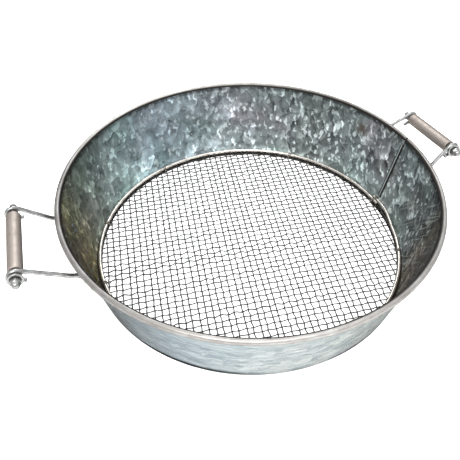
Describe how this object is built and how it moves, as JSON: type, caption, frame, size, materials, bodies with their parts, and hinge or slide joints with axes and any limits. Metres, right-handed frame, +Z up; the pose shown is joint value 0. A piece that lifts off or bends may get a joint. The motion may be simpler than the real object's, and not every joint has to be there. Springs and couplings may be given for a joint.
{
  "type": "soil sieve",
  "caption": "Round galvanised garden sieve: a flared pan with a rolled rim, a woven wire screen in its base and two spool handles on wire arms.",
  "frame": {"origin": "middle of the whole sieve's footprint, handles included, in the plane of the underside of its bottom ledge, where it rests; the pan's axis stands at x = +5.76 mm, because the left handle reaches further", "axes": "+Z up through the open top; +X toward the right handle, whose side also has the pan's lock seam; grips parallel to Y, nuts on the -Y side"},
  "size_m": [0.4342, 0.354, 0.0929],
  "materials": {
    "galvanised_sheet": "hot-dip galvanised, spangled, dull",
    "zinc_wire": "bright zinc plated wire",
    "screen_wire": "galvanised woven wire, grey",
    "hoop_wire": "zinc plated wire, warm and slightly worn",
    "tie_wire": "soft iron binding wire, dull",
    "grip_tube": "satin steel tube, warm grey",
    "bright_hardware": "bright zinc plated"
  },
  "bodies": {
    "pan": {"pan_wall": "galvanised_sheet", "rim_wire": "zinc_wire", "screen_warp_wires": "screen_wire", "screen_weft_wires": "screen_wire", "retaining_ring": "hoop_wire", "ring_tie_1": "tie_wire", "ring_tie_2": "tie_wire", "ring_tie_3": "tie_wire", "ring_tie_4": "tie_wire", "ring_tie_5": "tie_wire", "ring_tie_6": "tie_wire", "ring_tie_7": "tie_wire", "ring_tie_8": "tie_wire", "right_near_arm": "zinc_wire", "right_near_rivet_lower": "bright_hardware", "right_near_rivet_upper": "bright_hardware", "right_far_arm": "zinc_wire", "right_far_rivet_lower": "bright_hardware", "right_far_rivet_upper": "bright_hardware", "left_near_arm": "zinc_wire", "left_near_rivet_lower": "bright_hardware", "left_near_rivet_upper": "bright_hardware", "left_far_arm": "zinc_wire", "left_far_rivet_lower": "bright_hardware", "left_far_rivet_upper": "bright_hardware", "right_axle_bolt": "bright_hardware", "right_axle_washer": "bright_hardware", "right_axle_nut": "bright_hardware", "left_axle_bolt": "bright_hardware", "left_axle_washer": "bright_hardware", "left_axle_nut": "bright_hardware"},
    "right_grip": {"right_grip": "grip_tube"},
    "left_grip": {"left_grip": "grip_tube"}
  },
  "joints": [
    {"name": "right_grip_spin", "type": "hinge", "parent": "pan", "child": "right_grip", "pos_m": [0.20686, 0, 0.08025], "axis": [0.0757, 0.987, -0.142], "continuous": true},
    {"name": "left_grip_spin", "type": "hinge", "parent": "pan", "child": "left_grip", "pos_m": [-0.20474, 0, 0.08465], "axis": [0.1331, 0.9911, -0.0041], "continuous": true}
  ]
}
